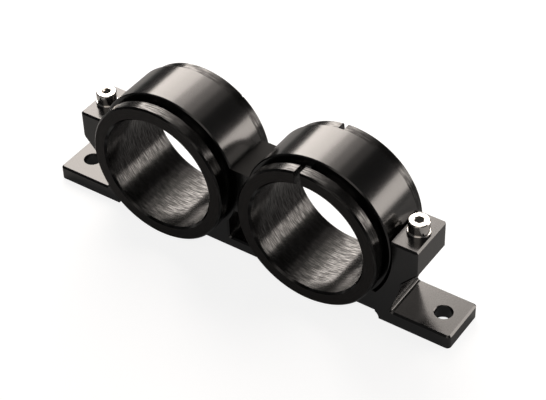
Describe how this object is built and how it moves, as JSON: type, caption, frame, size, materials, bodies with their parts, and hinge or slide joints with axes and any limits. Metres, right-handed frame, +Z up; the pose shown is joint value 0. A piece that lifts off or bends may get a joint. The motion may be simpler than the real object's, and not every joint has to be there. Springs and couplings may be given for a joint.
{
  "type": "twin tube clamp",
  "caption": "Twin ring clamp that holds parallel tubes or cylinders in split flanged sleeves, with a bolting foot and a screw ear at each end.",
  "frame": {"origin": "midway between the two foot bolts, in the plane of the feet's undersides", "axes": "+X from the left foot to the right foot, +Y along the tubes towards the back, +Z up through the rings and ears"},
  "size_m": [0.225, 0.0418, 0.079],
  "materials": {
    "body": "black anodised, satin",
    "sleeve": "turned acetal, fine circumferential tool marks",
    "fastener": "polished stainless steel"
  },
  "bodies": {
    "body": {"clamp_body": "body", "left_screw": "fastener", "right_screw": "fastener", "left_spring_washer": "fastener", "right_spring_washer": "fastener", "left_flat_washer": "fastener", "right_flat_washer": "fastener"},
    "left_insert": {"left_sleeve": "sleeve"},
    "right_insert": {"right_sleeve": "sleeve"}
  },
  "joints": [
    {"name": "left_sleeve_turn", "type": "hinge", "parent": "body", "child": "left_insert", "pos_m": [-0.0418, 0, 0.04], "axis": [0, 1, 0], "continuous": true},
    {"name": "right_sleeve_turn", "type": "hinge", "parent": "body", "child": "right_insert", "pos_m": [0.0418, 0, 0.04], "axis": [0, 1, 0], "continuous": true}
  ]
}
